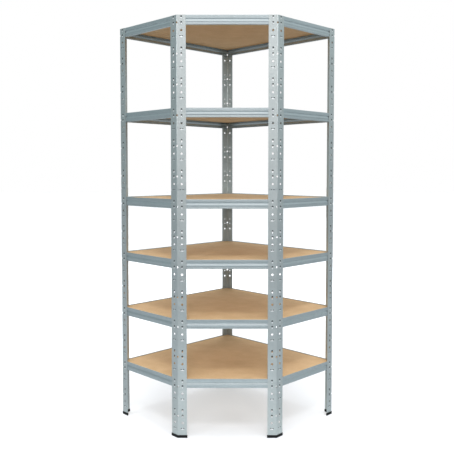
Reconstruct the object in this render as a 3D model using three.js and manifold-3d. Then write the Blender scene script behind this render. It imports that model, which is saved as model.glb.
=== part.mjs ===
// Corner shelf unit in galvanised steel. Five punched angle posts, each of two lapped halves,
// carry six shelves. A shelf is a frame of five beams that hook into the posts by headed studs,
// and a loose board that lies on the ledges of its beams.
// Millimetres, +Z up, +Y towards the back corner, origin on the floor under the middle.

import * as THREE from 'three';
import { mergeGeometries, mergeVertices } from 'three/addons/utils/BufferGeometryUtils.js';
import Module from 'manifold-3d';

const wasm = await Module();
wasm.setup();

// Overall size, between the creases of the posts
const overallHeight = 1800;
const wallSide = 700;
const endSide = 400;

// Gap between neighbours, and how far a cutter runs past the steel
const clearance = 0.3;
const cutOverrun = 2;

// Posts: folded angles
const postSheet = 1;
const flangeWidth = 39;
const creaseRadius = 3;
const creaseSteps = 2;

// Lap of the two halves of a post, measured from the top of the shelf that pins it
const lapAbove = 37;
const lapBelow = 100;
const joggleHeight = 6;

// Holes, in equal rows down the post. A row has an upper and a lower key in each flange, wide
// at the top to let a stud's head in and narrow at the bottom to hold its shaft, and a round
// hole for a screw under them.
const rowCount = 14;
const holeLine = 20;
const keyDrop = 3;
const keyHeight = 12;
const keySpacing = 24;
const roundHoleDrop = 64;
const roundHoleDiameter = 9;
const roundHoleSides = 8;

// Studs, pressed into the beams, and their play in the narrow and the wide end of a key
const studDiameter = 3.4;
const studHeadDiameter = 5.6;
const studHeadThickness = 1.5;
const studSides = 6;
const shaftPlay = 0.4;
const headPlay = 0.9;

// Feet: plastic caps with a socket for the post
const footSole = 4;
const socketDepth = 8;
const footWall = 1.5;

// Beams: rolled sheet with a folded top edge, a board ledge, a groove between the studs and
// a bottom flange
const beamSheet = 0.8;
const grooveBelowStud = 2;
const grooveAboveStud = 9;
const edgeBelowStud = 3;
const grooveDepth = 3;
const grooveSlope = 2;
const ledgeReach = 13;
const bottomReach = 12;
const beamSetback = 3;

// Boards, and the lip of the beams that stands above them
const boardThickness = 6.5;
const boardPlay = 1;
const lipHeight = 3.2;

// Rows of keys, counted down from the top, that the shelves hang in, from the lowest shelf up,
// and the row whose shelf pins the lap
const shelfRows = [12, 10, 8, 6, 3, 0];
const lapRow = 6;

// Sizes that follow from those above
const layerInset = postSheet + clearance;
const slotWidth = studDiameter + 2 * shaftPlay;
const keyWidth = studHeadDiameter + 2 * headPlay;
const upperStudDrop = keyDrop + keyHeight - clearance - studDiameter / 2;
const lowerStudDrop = upperStudDrop + keySpacing;
const footProud = clearance + footWall;
const hemWidth = 2 * beamSheet;
const beamHeight = lowerStudDrop + edgeBelowStud;
const ledgeDrop = lipHeight + boardThickness + clearance;
const lowerHalfTop = rowHeight(lapRow) + lapAbove;
const upperHalfBottom = rowHeight(lapRow) - lapBelow;
const upVector = new THREE.Vector3(0, 0, 1);

const postMaterial = new THREE.MeshStandardMaterial({
  color: 0xb4babc,
  roughness: 0.42,
  metalness: 0.85,
});
const beamMaterial = new THREE.MeshStandardMaterial({
  color: 0xaab2b8,
  roughness: 0.4,
  metalness: 0.85,
});
const boardMaterial = new THREE.MeshStandardMaterial({
  color: 0xc4a27c,
  roughness: 0.85,
  metalness: 0,
});
const footMaterial = new THREE.MeshStandardMaterial({
  color: 0x1c1d1f,
  roughness: 0.6,
  metalness: 0,
});

// Height of the line that a row of keys is measured down from
function rowHeight(row) {
  return overallHeight - (row * overallHeight) / rowCount;
}

// Plan of the unit: its corners, counter-clockwise from the front left, seen from above.
// The middle of the front and of the rounded back crease lie equally far from the origin.
function planCorners() {
  const halfWidth = wallSide * Math.SQRT1_2;
  const halfFront = (wallSide - endSide) * Math.SQRT1_2;
  const depth = (wallSide + endSide) * Math.SQRT1_2;
  const roundedOff = creaseRadius * (Math.SQRT2 - 1);
  const back = (depth + roundedOff) / 2;
  const middle = back - halfWidth;
  const front = back - depth;
  return [
    { name: 'front_left', point: new THREE.Vector2(-halfFront, front) },
    { name: 'front_right', point: new THREE.Vector2(halfFront, front) },
    { name: 'right', point: new THREE.Vector2(halfWidth, middle) },
    { name: 'back', point: new THREE.Vector2(0, back) },
    { name: 'left', point: new THREE.Vector2(-halfWidth, middle) },
  ];
}

// The sides from each corner to the next, with their direction, length and inward normal
function planSides(corners) {
  const names = ['front', 'right_end', 'right_wall', 'left_wall', 'left_end'];
  return names.map((name, index) => {
    const start = corners[index];
    const end = corners[(index + 1) % corners.length];
    const along = end.point.clone().sub(start.point);
    const length = along.length();
    along.normalize();
    const inward = new THREE.Vector2(-along.y, along.x);
    return { name, start, end, along, inward, length };
  });
}

// Gives each corner the turn of its next side, its inner angle and the line that halves it
function joinCorners(corners, sides) {
  corners.forEach((corner, index) => {
    const next = sides[index];
    const previous = sides[(index + sides.length - 1) % sides.length];
    corner.turn = next.along.angle();
    corner.bisector = next.inward.clone().add(previous.inward).normalize();
    corner.innerAngle = 2 * Math.acos(corner.bisector.dot(next.along));
  });
}

const corners = planCorners();
const sides = planSides(corners);
joinCorners(corners, sides);

// Distance along the halving line of an angle to where both faces meet at an inset
function apexDistance(innerAngle, inset) {
  return inset / Math.sin(innerAngle / 2);
}

// An angle has its crease at the origin and its first flange along +X. Its second flange
// turns from the first by the inner angle.
function angleFlanges(innerAngle) {
  const turned = new THREE.Vector2(Math.cos(innerAngle), Math.sin(innerAngle));
  return [
    { along: new THREE.Vector2(1, 0), inward: new THREE.Vector2(0, 1) },
    { along: turned, inward: new THREE.Vector2(turned.y, -turned.x) },
  ];
}

// The rounded fold of an angle at an inset, from its first flange to its second
function foldPoints(innerAngle, inset) {
  const radius = creaseRadius - inset;
  const halving = new THREE.Vector2(Math.cos(innerAngle / 2), Math.sin(innerAngle / 2));
  if (radius <= clearance) {
    return [halving.multiplyScalar(apexDistance(innerAngle, inset))];
  }
  const centre = halving.multiplyScalar(apexDistance(innerAngle, creaseRadius));
  const points = [];
  for (let step = 0; step <= creaseSteps; step += 1) {
    const turn = ((innerAngle - Math.PI) * step) / creaseSteps - Math.PI / 2;
    const spoke = new THREE.Vector2(Math.cos(turn), Math.sin(turn));
    points.push(centre.clone().addScaledVector(spoke, radius));
  }
  return points;
}

function flangePoint(flange, reach, inset) {
  const point = flange.along.clone().multiplyScalar(reach);
  return point.addScaledVector(flange.inward, inset);
}

// Plan of an angle between two insets, whose flanges end at a reach from the crease
function angleShape(innerAngle, outerInset, innerInset, reach) {
  const [first, second] = angleFlanges(innerAngle);
  return new THREE.Shape([
    flangePoint(first, reach, outerInset),
    ...foldPoints(innerAngle, outerInset),
    flangePoint(second, reach, outerInset),
    flangePoint(second, reach, innerInset),
    ...foldPoints(innerAngle, innerInset).reverse(),
    flangePoint(first, reach, innerInset),
  ]);
}

function extrudeUp(shape, bottom, height) {
  const geometry = new THREE.ExtrudeGeometry(shape, { depth: height, bevelEnabled: false });
  return geometry.translate(0, 0, bottom);
}

function toSolid(geometry) {
  const bare = geometry.clone();
  bare.deleteAttribute('normal');
  bare.deleteAttribute('uv');
  const merged = mergeVertices(bare);
  return new wasm.Manifold(new wasm.Mesh({
    numProp: 3,
    vertProperties: new Float32Array(merged.attributes.position.array),
    triVerts: new Uint32Array(merged.index.array),
  }));
}

function toGeometry(solid) {
  const mesh = solid.getMesh();
  const geometry = new THREE.BufferGeometry();
  geometry.setAttribute('position', new THREE.BufferAttribute(mesh.vertProperties, 3));
  geometry.setIndex(new THREE.BufferAttribute(mesh.triVerts, 1));
  geometry.computeVertexNormals();
  return geometry;
}

function cut(geometry, cutters) {
  return toGeometry(toSolid(geometry).subtract(toSolid(mergeGeometries(cutters))));
}

// A key and a round hole are drawn around the hole line, below the line of their row
function keyShape(drop) {
  return new THREE.Shape([
    new THREE.Vector2(-keyWidth / 2, -drop),
    new THREE.Vector2(-slotWidth / 2, -drop - keyHeight),
    new THREE.Vector2(slotWidth / 2, -drop - keyHeight),
    new THREE.Vector2(keyWidth / 2, -drop),
  ]);
}

function roundHoleShape() {
  const points = [];
  for (let side = 0; side < roundHoleSides; side += 1) {
    const turn = (2 * Math.PI * side) / roundHoleSides;
    const spoke = new THREE.Vector2(Math.cos(turn), Math.sin(turn));
    points.push(spoke.multiplyScalar(roundHoleDiameter / 2).setY(spoke.y - roundHoleDrop));
  }
  return new THREE.Shape(points);
}

// A cutter runs outward through a flange, from far enough in to take both layers of a lap
function flangeCutter(flange, shape, height) {
  const reach = 2 * layerInset + cutOverrun;
  const depth = reach + cutOverrun;
  const cutter = new THREE.ExtrudeGeometry(shape, { depth, bevelEnabled: false });
  const outward = new THREE.Vector3(-flange.inward.x, -flange.inward.y, 0);
  const across = new THREE.Vector3().crossVectors(upVector, outward);
  const origin = flangePoint(flange, holeLine, reach);
  const matrix = new THREE.Matrix4().makeBasis(across, upVector, outward);
  return cutter.applyMatrix4(matrix.setPosition(origin.x, origin.y, height));
}

// The holes of all rows that lie whole between two heights
function rowCutters(innerAngle, bottom, top) {
  const shapes = [keyShape(keyDrop), keyShape(keyDrop + keySpacing), roundHoleShape()];
  const cutters = [];
  for (let row = 0; row < rowCount; row += 1) {
    const height = rowHeight(row);
    const rowBottom = height - roundHoleDrop - roundHoleDiameter / 2;
    if (height <= top && rowBottom > bottom) {
      for (const flange of angleFlanges(innerAngle)) {
        cutters.push(...shapes.map((shape) => flangeCutter(flange, shape, height)));
      }
    }
  }
  return cutters;
}

// The lower half of a post stands in its foot and holds the lap of the upper half
function lowerHalf(innerAngle) {
  const bottom = footSole + clearance;
  const shape = angleShape(innerAngle, 0, postSheet, flangeWidth);
  const angle = extrudeUp(shape, bottom, lowerHalfTop - bottom);
  return cut(angle, rowCutters(innerAngle, bottom, lowerHalfTop));
}

// The upper half steps inward by one layer below its joggle. Its lap slides in behind the
// lower half, and both halves show one flush face.
function upperHalf(innerAngle) {
  const lapShift = apexDistance(innerAngle, layerInset);
  const levels = [
    { height: upperHalfBottom, shift: lapShift },
    { height: lowerHalfTop + clearance, shift: lapShift },
    { height: lowerHalfTop + clearance + joggleHeight, shift: 0 },
    { height: overallHeight, shift: 0 },
  ];
  const steps = levels.length - 1;
  const shape = angleShape(innerAngle, 0, postSheet, flangeWidth);
  const angle = new THREE.ExtrudeGeometry(shape, { depth: 1, steps, bevelEnabled: false });
  const position = angle.attributes.position;
  for (let index = 0; index < position.count; index += 1) {
    const level = levels[Math.round(position.getZ(index) * steps)];
    const x = position.getX(index) + level.shift * Math.cos(innerAngle / 2);
    const y = position.getY(index) + level.shift * Math.sin(innerAngle / 2);
    position.setXYZ(index, x, y, level.height);
  }
  return cut(angle, rowCutters(innerAngle, upperHalfBottom, overallHeight));
}

// A foot has a solid sole, and a wall on both sides of the post
function foot(innerAngle) {
  const innerInset = postSheet + footProud;
  const socketInset = postSheet + clearance;
  const body = angleShape(innerAngle, -footProud, innerInset, flangeWidth + footProud);
  const socket = angleShape(innerAngle, -clearance, socketInset, flangeWidth + clearance);
  const socketCutter = extrudeUp(socket, footSole, socketDepth + cutOverrun);
  return cut(extrudeUp(body, 0, footSole + socketDepth), [socketCutter]);
}

// Section of a beam: distances inward from its outer face, and heights below its top
function beamSection() {
  const grooveTop = upperStudDrop + grooveBelowStud;
  const grooveBottom = lowerStudDrop - grooveAboveStud;
  const grooveBack = grooveDepth + beamSheet;
  const cornerShift = beamSheet / 2;
  return new THREE.Shape([
    new THREE.Vector2(0, 0),
    new THREE.Vector2(0, -grooveTop),
    new THREE.Vector2(grooveDepth, -grooveTop - grooveSlope),
    new THREE.Vector2(grooveDepth, -grooveBottom + grooveSlope),
    new THREE.Vector2(0, -grooveBottom),
    new THREE.Vector2(0, -beamHeight),
    new THREE.Vector2(bottomReach, -beamHeight),
    new THREE.Vector2(bottomReach, -beamHeight + beamSheet),
    new THREE.Vector2(beamSheet, -beamHeight + beamSheet),
    new THREE.Vector2(beamSheet, -grooveBottom - cornerShift),
    new THREE.Vector2(grooveBack, -grooveBottom + grooveSlope - cornerShift),
    new THREE.Vector2(grooveBack, -grooveTop - grooveSlope + cornerShift),
    new THREE.Vector2(beamSheet, -grooveTop + cornerShift),
    new THREE.Vector2(beamSheet, -ledgeDrop - beamSheet),
    new THREE.Vector2(ledgeReach, -ledgeDrop - beamSheet),
    new THREE.Vector2(ledgeReach, -ledgeDrop),
    new THREE.Vector2(hemWidth, -ledgeDrop),
    new THREE.Vector2(hemWidth, 0),
  ]);
}

// A beam's bar has X inward, Y up and Z along its side, and both of its ends are mitred
function beamBar(side, inset) {
  const bar = new THREE.ExtrudeGeometry(beamSection(), { depth: 1, bevelEnabled: false });
  const position = bar.attributes.position;
  for (let index = 0; index < position.count; index += 1) {
    const inward = inset + position.getX(index);
    const startMitre = inward / Math.tan(side.start.innerAngle / 2) + beamSetback;
    const endMitre = inward / Math.tan(side.end.innerAngle / 2) + beamSetback;
    const atEnd = position.getZ(index) > 0;
    position.setX(index, inward);
    position.setZ(index, atEnd ? side.length - endMitre : startMitre);
  }
  return bar;
}

// A stud is rooted in the beam's sheet. Its shaft runs outward through the key, and its head
// lies outside the post.
function stud(along, drop, inset) {
  const shaft = studDiameter / 2;
  const head = studHeadDiameter / 2;
  const root = inset + beamSheet / 2;
  const underHead = root + clearance;
  const profile = [
    new THREE.Vector2(0, 0),
    new THREE.Vector2(shaft, 0),
    new THREE.Vector2(shaft, underHead),
    new THREE.Vector2(head, underHead),
    new THREE.Vector2(head, underHead + studHeadThickness),
    new THREE.Vector2(0, underHead + studHeadThickness),
  ];
  const turned = new THREE.LatheGeometry(profile, studSides);
  return turned.rotateZ(Math.PI / 2).translate(root, -drop, along);
}

function beam(side, shelfHeight, inset) {
  let solid = toSolid(beamBar(side, inset));
  for (const along of [holeLine, side.length - holeLine]) {
    for (const drop of [upperStudDrop, lowerStudDrop]) {
      solid = solid.add(toSolid(stud(along, drop, inset)));
    }
  }
  const inward = new THREE.Vector3(side.inward.x, side.inward.y, 0);
  const along = new THREE.Vector3(side.along.x, side.along.y, 0);
  const matrix = new THREE.Matrix4().makeBasis(inward, upVector, along);
  matrix.setPosition(side.start.point.x, side.start.point.y, shelfHeight);
  return toGeometry(solid).applyMatrix4(matrix);
}

// A board follows the beams, with the play that lets it drop onto their ledges
function board(shelfHeight, beamInset) {
  const inset = beamInset + hemWidth + boardPlay;
  const outline = corners.map((corner) => {
    const distance = apexDistance(corner.innerAngle, inset);
    return corner.point.clone().addScaledVector(corner.bisector, distance);
  });
  const bottom = shelfHeight - ledgeDrop + clearance;
  return extrudeUp(new THREE.Shape(outline), bottom, boardThickness);
}

function addMesh(parent, name, geometry, material) {
  const mesh = new THREE.Mesh(geometry, material);
  mesh.name = name;
  parent.add(mesh);
}

// A post and its foot stand at their corner, with the first flange along the next side
function postGroup(corner) {
  const group = new THREE.Group();
  group.position.set(corner.point.x, corner.point.y, 0);
  group.rotation.z = corner.turn;
  addMesh(group, `${corner.name}_foot`, foot(corner.innerAngle), footMaterial);
  addMesh(group, `${corner.name}_post_lower`, lowerHalf(corner.innerAngle), postMaterial);
  addMesh(group, `${corner.name}_post_upper`, upperHalf(corner.innerAngle), postMaterial);
  return group;
}

// A shelf hangs inside the posts, and inside both layers of them where it pins the lap
function shelfGroup(row, number) {
  const group = new THREE.Group();
  const height = rowHeight(row);
  const layers = row === lapRow ? 2 : 1;
  const inset = layers * layerInset;
  for (const side of sides) {
    const name = `shelf_${number}_${side.name}_beam`;
    addMesh(group, name, beam(side, height, inset), beamMaterial);
  }
  addMesh(group, `shelf_${number}_board`, board(height, inset), boardMaterial);
  return group;
}

const unit = new THREE.Group();
corners.forEach((corner) => unit.add(postGroup(corner)));
shelfRows.forEach((row, index) => unit.add(shelfGroup(row, index + 1)));

export default unit;
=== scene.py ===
# %% [markdown]
# # A corner shelf unit in galvanised steel
# Five punched angle posts carry six shelves. Each post is two lapped halves that stand in a
# plastic foot. Each shelf is a frame of five rolled beams, hooked into the posts by studs,
# with a loose fibreboard on its ledges. The imported model gives the places, in metres, and
# this script gives every piece its fine shape and its finish.

# %% Load the imported model
import math

import bmesh
import bpy
from mathutils import Matrix, Vector


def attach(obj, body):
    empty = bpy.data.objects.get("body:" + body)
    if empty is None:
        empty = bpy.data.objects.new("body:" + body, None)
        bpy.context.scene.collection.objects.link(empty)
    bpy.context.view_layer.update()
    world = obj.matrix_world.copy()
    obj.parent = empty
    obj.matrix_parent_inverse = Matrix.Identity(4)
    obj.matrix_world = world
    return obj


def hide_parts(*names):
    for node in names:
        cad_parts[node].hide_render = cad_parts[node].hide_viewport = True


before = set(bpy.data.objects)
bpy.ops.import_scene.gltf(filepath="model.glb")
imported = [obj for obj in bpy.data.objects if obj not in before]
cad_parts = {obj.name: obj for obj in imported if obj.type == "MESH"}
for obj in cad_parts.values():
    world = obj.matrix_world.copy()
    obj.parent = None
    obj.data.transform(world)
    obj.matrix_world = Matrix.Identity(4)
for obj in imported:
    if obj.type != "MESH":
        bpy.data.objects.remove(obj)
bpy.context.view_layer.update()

# %% [markdown]
# ## Camera
# The photograph is taken at about chest height, three metres from the unit, with the camera
# tipped down a little. A small shift of the frame keeps the posts upright in the picture.

# %% Place the camera
PICTURE_PIXELS = 454
FOCAL_PIXELS = 652.6
SENSOR_MM = 36.0
CAMERA_PLACE = (0.0021, -3.1453, 1.1526)
TIP_DOWN, TURN_LEFT = 0.0504, 0.0011
SHIFT_PIXELS = -24.1

camera_data = bpy.data.cameras.new("camera")
camera_data.sensor_width = SENSOR_MM
camera_data.lens = FOCAL_PIXELS / PICTURE_PIXELS * SENSOR_MM
camera_data.shift_y = SHIFT_PIXELS / PICTURE_PIXELS
camera = bpy.data.objects.new("camera", camera_data)
camera.location = CAMERA_PLACE
camera.rotation_euler = (math.pi / 2 - TIP_DOWN, 0, TURN_LEFT)
bpy.context.collection.objects.link(camera)
bpy.context.scene.camera = camera
bpy.context.scene.view_settings.view_transform = "Standard"
print("lens", round(camera_data.lens, 2), "shift", round(camera_data.shift_y, 4))

# %% [markdown]
# ## Small helpers
# Nodes are added by one short function, so that a tree reads from top to bottom: what kind
# of node, what goes into its sockets, and how it is set. A socket is named by its label, or
# by its place where several share a label.

# %% Helpers for nodes and trees
def feed(tree, node, inputs):
    for key, value in inputs.items():
        if isinstance(value, bpy.types.NodeSocket):
            tree.links.new(value, node.inputs[key])
        else:
            node.inputs[key].default_value = value


def add(tree, kind, inputs=None, **settings):
    made = tree.nodes.new(kind)
    for name, value in settings.items():
        setattr(made, name, value)
    feed(tree, made, inputs or {})
    return made


def new_tree(name, kind, inputs, outputs):
    """An input has a label, a kind of socket and perhaps a default. An output has no default."""
    tree = bpy.data.node_groups.new(name, kind)
    for label, socket, *default in inputs:
        made = tree.interface.new_socket(label, in_out="INPUT", socket_type="NodeSocket" + socket)
        if default:
            made.default_value = default[0]
    for label, socket in outputs:
        tree.interface.new_socket(label, in_out="OUTPUT", socket_type="NodeSocket" + socket)
    given = tree.nodes.new("NodeGroupInput").outputs
    return tree, given, tree.nodes.new("NodeGroupOutput")


def cleared(owner):
    """The tree of a material or a world, without the nodes that it starts with."""
    owner.use_nodes = True
    owner.node_tree.nodes.clear()
    return owner.node_tree


def calculate(tree, operation, first, second=0.0):
    made = add(tree, "ShaderNodeMath", {0: first, 1: second}, operation=operation)
    return made.outputs[0]


def times(tree, first, second):
    return calculate(tree, "MULTIPLY", first, second)


def plus(tree, first, second):
    return calculate(tree, "ADD", first, second)


def blend_colors(tree, factor, first, second):
    inputs = {0: factor, 6: first, 7: second}
    return add(tree, "ShaderNodeMix", inputs, data_type="RGBA").outputs[2]


def spread(tree, value, low, high, to_low=0.0, to_high=1.0):
    made = add(tree, "ShaderNodeMapRange", {0: value, 1: low, 2: high, 3: to_low, 4: to_high})
    return made.outputs[0]


def noise(tree, vector, scale, detail, roughness, distortion=0.0):
    inputs = {"Vector": vector, "Scale": scale, "Detail": detail, "Roughness": roughness}
    inputs["Distortion"] = distortion
    return add(tree, "ShaderNodeTexNoise", inputs).outputs[0]


def xyz(tree, x=0.0, y=0.0, z=0.0):
    return add(tree, "ShaderNodeCombineXYZ", {0: x, 1: y, 2: z}).outputs[0]


def holder(name, data):
    made = bpy.data.objects.new(name, data)
    bpy.context.collection.objects.link(made)
    return made


print("helpers ready")

# %% [markdown]
# ## Studio
# The unit stands on a plain pale floor under soft light. The floor stays a real surface that
# takes the shadow, and only what the camera sees of it is lifted to white. What the camera sees
# is also toned darker close to the unit, a painted shade that widens its shadow. Galvanised
# steel mirrors its surroundings, so the room matters more to it than the lamps: what the steel
# sees of the floor is greyer far off and darkest ahead, and the walls are grey on both sides.

# %% Floor
FLOOR_SIZE = 60.0
# Near the unit the tone that the camera sees is darker: a painted shade around its shadow.
FLOOR_SEEN_NEAR_SHADED = (0.58, 0.60, 0.635, 1.0)
FLOOR_SEEN_FAR = (0.71, 0.73, 0.75, 1.0)
FLOOR_NEAR = (0.58, 0.62, 0.64, 1.0)
FLOOR_FAR = (0.35, 0.38, 0.40, 1.0)
FLOOR_AHEAD = (0.165, 0.19, 0.205, 1.0)
NEAR_REACH, FAR_REACH = 0.9, 2.2
AHEAD_NEAR, AHEAD_FAR = -1.1, -2.2
NARROWER_ACROSS = (3.0, 1.0, 1.0)
FLOOR_LIFT = 0.345

floor_material = bpy.data.materials.new("studio_floor")
tree = cleared(floor_material)
seen = add(tree, "ShaderNodeLightPath").outputs
place = add(tree, "ShaderNodeTexCoord").outputs["Object"]
ahead = add(tree, "ShaderNodeSeparateXYZ", {0: place}).outputs["Y"]
ahead = spread(tree, ahead, AHEAD_NEAR, AHEAD_FAR)
place = add(tree, "ShaderNodeMapping", {"Vector": place, "Scale": NARROWER_ACROSS}).outputs[0]
distance = add(tree, "ShaderNodeVectorMath", {0: place}, operation="LENGTH").outputs["Value"]
away = spread(tree, distance, NEAR_REACH, FAR_REACH)
beyond = blend_colors(tree, ahead, FLOOR_FAR, FLOOR_AHEAD)
bounced = blend_colors(tree, away, FLOOR_NEAR, beyond)
seen_tone_with_painted_shade = blend_colors(tree, away, FLOOR_SEEN_NEAR_SHADED, FLOOR_SEEN_FAR)
tone = blend_colors(tree, seen["Is Camera Ray"], bounced, seen_tone_with_painted_shade)
lift = times(tree, seen["Is Camera Ray"], FLOOR_LIFT)
matt = add(tree, "ShaderNodeBsdfDiffuse", {"Color": tone})
glow = add(tree, "ShaderNodeEmission", {"Strength": lift})
both = add(tree, "ShaderNodeAddShader", {0: matt.outputs[0], 1: glow.outputs[0]})
add(tree, "ShaderNodeOutputMaterial", {"Surface": both.outputs[0]})

floor_mesh = bpy.data.meshes.new("floor")
reach = FLOOR_SIZE / 2
floor_corners = [(-reach, -reach, 0), (reach, -reach, 0), (reach, reach, 0), (-reach, reach, 0)]
floor_mesh.from_pydata(floor_corners, [], [(0, 1, 2, 3)])
floor_mesh.materials.append(floor_material)
floor = holder("floor", floor_mesh)
print("floor", FLOOR_SIZE, "m")

# %% World: white where it is seen, a room with grey sides where it lights
WORLD_LIGHT = 0.72
PLAIN_WHITE = (1.0, 1.0, 1.0, 1.0)
COOL_WALL = (0.78, 0.97, 1.0, 1.0)
LEFT_GREY, LEFT_FROM, LEFT_TO = 0.38, -0.4, -0.85
RIGHT_GREY, RIGHT_FROM, RIGHT_TO = 0.62, 0.3, 0.8
LOW_GREY, LOW_FROM, LOW_TO = 0.63, -0.1, 0.18
CEILING_GLOW, HIGH_FROM, HIGH_TO = 1.3, 0.35, 0.8

world = bpy.data.worlds.new("studio")
bpy.context.scene.world = world
tree = cleared(world)
seen = add(tree, "ShaderNodeLightPath").outputs
direct = calculate(tree, "MAXIMUM", seen["Is Camera Ray"], seen["Is Transmission Ray"])
way = add(tree, "ShaderNodeTexCoord").outputs["Generated"]
across, _, up = add(tree, "ShaderNodeSeparateXYZ", {0: way}).outputs
left = spread(tree, across, LEFT_FROM, LEFT_TO, 1.0, LEFT_GREY)
right = spread(tree, across, RIGHT_FROM, RIGHT_TO, 1.0, RIGHT_GREY)
room = times(tree, left, right)
low = spread(tree, up, LOW_FROM, LOW_TO, LOW_GREY, 1.0)
high = spread(tree, up, HIGH_FROM, HIGH_TO, 1.0, CEILING_GLOW)
mirrored = times(tree, times(tree, room, low), high)
tone = blend_colors(tree, spread(tree, room, 1.0, LEFT_GREY), PLAIN_WHITE, COOL_WALL)
lighting = times(tree, room, WORLD_LIGHT)
level = spread(tree, seen["Is Glossy Ray"], 0.0, 1.0, lighting, mirrored)
soft = add(tree, "ShaderNodeBackground", {"Color": tone, "Strength": level})
white = add(tree, "ShaderNodeBackground", {"Color": PLAIN_WHITE, "Strength": 1.0})
mixed = add(tree, "ShaderNodeMixShader", {0: direct, 1: soft.outputs[0], 2: white.outputs[0]})
add(tree, "ShaderNodeOutputWorld", {"Surface": mixed.outputs[0]})
print("world light", WORLD_LIGHT)

# %% Soft boxes near by, and lights from far above
AIM = Vector((0.0, 0.0, 0.9))
SOFT_BOXES = [  # name, place, size, watts, and whether the metal mirrors it
    ("overhead", (0.0, -0.6, 4.2), (3.2, 3.2), 30, True),
    ("front_right", (2.6, -3.4, 2.6), (1.6, 2.2), 40, True),
    ("front_left", (-3.0, -3.0, 2.0), (1.4, 2.0), 34, True),
    ("low_front", (0.0, -5.0, 1.9), (3.0, 2.0), 118, False),
    ("low_back", (0.0, 5.0, 2.0), (4.0, 2.0), 120, False),
]
FAR_LIGHTS = [("ceiling", 0.65, 20, 0), ("key", 0.75, 12, 36)]  # name, strength, blur and tilt


def hang(name, kind, turn, mirrored, place=(0.0, 0.0, 0.0)):
    lamp = bpy.data.lights.new(name, kind)
    light = holder(name, lamp)
    light.location = place
    light.rotation_euler = turn
    light.visible_glossy = mirrored
    return lamp


for name, place, size, watts, mirrored in SOFT_BOXES:
    turn = (AIM - Vector(place)).to_track_quat("-Z", "Y").to_euler()
    lamp = hang(name, "AREA", turn, mirrored, place)
    lamp.shape = "RECTANGLE"
    lamp.size, lamp.size_y = size
    lamp.energy = watts
for name, strength, blur, tilt in FAR_LIGHTS:
    lamp = hang(name, "SUN", (math.radians(tilt), 0, 0), False)
    lamp.energy = strength
    lamp.angle = math.radians(blur)

# %% [markdown]
# ## Finishes
# Hot-dip galvanised sheet is satin grey with a faint crystal pattern, the spangle, and long
# faint lines from the rolls. Both steels share that effect, so it is one node group, and each
# material turns it and tints it in its own way. The lines run along the sheet: a noise is
# stretched by a Mapping node until it turns into lines.

# %% Group: rolled zinc
CRYSTAL_SHARE, LINE_SHARE, CLOUD_SHARE = 0.12, 0.45, 0.55


def rolled_zinc_group():
    tree, given, result = new_tree(
        "rolled_zinc",
        "ShaderNodeTree",
        [
            ("Vector", "Vector"),
            ("Streaks", "Vector"),
            ("Light Tone", "Color", (0.6, 0.6, 0.6, 1)),
            ("Dark Tone", "Color", (0.4, 0.4, 0.4, 1)),
            ("Crystal Scale", "Float", 110.0),
            ("Smoothest", "Float", 0.3),
            ("Roughest", "Float", 0.45),
        ],
        [
            ("Color", "Color"),
            ("Roughness", "Float"),
            ("Height", "Float"),
        ],
    )
    crystals = add(
        tree,
        "ShaderNodeTexVoronoi",
        {"Vector": given["Vector"], "Scale": given["Crystal Scale"], "Randomness": 0.9},
    )
    tone = add(tree, "ShaderNodeSeparateColor", {0: crystals.outputs["Color"]}).outputs[0]
    lines = noise(tree, given["Streaks"], 1.0, 6.0, 0.62)
    clouds = noise(tree, given["Vector"], 7.0, 4.0, 0.55)
    crystal_share = times(tree, tone, CRYSTAL_SHARE)
    line_share = times(tree, lines, LINE_SHARE)
    cloud_share = times(tree, clouds, CLOUD_SHARE)
    mask = plus(tree, crystal_share, line_share)
    mask = plus(tree, mask, cloud_share)
    mask = spread(tree, mask, 0.36, 0.8)
    color = blend_colors(tree, mask, given["Dark Tone"], given["Light Tone"])
    rough = spread(tree, mask, 0.0, 1.0, given["Roughest"], given["Smoothest"])
    height = plus(tree, crystal_share, line_share)
    feed(tree, result, {"Color": color, "Roughness": rough, "Height": height})
    return tree


rolled_zinc = rolled_zinc_group()
print("group", rolled_zinc.name)

# %% [markdown]
# Handling leaves a little dust and a few dull smears on everything. That is a second group:
# a soft mask, which each material mixes in as much as it needs.

# %% Group: dust and smears
def handling_group():
    tree, given, result = new_tree(
        "handling",
        "ShaderNodeTree",
        [
            ("Vector", "Vector"),
            ("Scale", "Float", 9.0),
            ("Least", "Float", 0.52),
            ("Most", "Float", 0.78),
        ],
        [("Mask", "Float")],
    )
    smears = noise(tree, given["Vector"], given["Scale"], 5.0, 0.68, 0.6)
    feed(tree, result, {"Mask": spread(tree, smears, given["Least"], given["Most"])})
    return tree


handling = handling_group()
print("group", handling.name)

# %% Helper: a material with its shader and its coordinates
def new_material(name):
    material = bpy.data.materials.new(name)
    tree = cleared(material)
    shader = add(tree, "ShaderNodeBsdfPrincipled")
    add(tree, "ShaderNodeOutputMaterial", {"Surface": shader.outputs[0]})
    place = add(tree, "ShaderNodeTexCoord").outputs["Object"]
    return material, tree, shader, place


def stretched(tree, place, scale):
    return add(tree, "ShaderNodeMapping", {"Vector": place, "Scale": scale}).outputs[0]


def bumped(tree, shader, height, strength, distance):
    relief = {"Height": height, "Strength": strength, "Distance": distance}
    feed(tree, shader, {"Normal": add(tree, "ShaderNodeBump", relief).outputs[0]})


def smears_on(tree, place):
    return add(tree, "ShaderNodeGroup", {"Vector": place}, node_tree=handling).outputs["Mask"]


print("finish helpers ready")

# %% Zinc finishes: posts, beams, studs, a painted highlight and a painted shade
LINES_ALONG_POST = (260.0, 260.0, 2.2)
LINES_ALONG_BEAM = (3.0, 3.0, 420.0)
LINES_ANY_WAY = (90.0, 90.0, 90.0)
METALLIC = 0.85
DULL_SHARE, ROUGHER_SHARE = 0.25, 0.5
ZINC_BUMP, ZINC_RELIEF = 0.05, 0.0002


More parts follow.
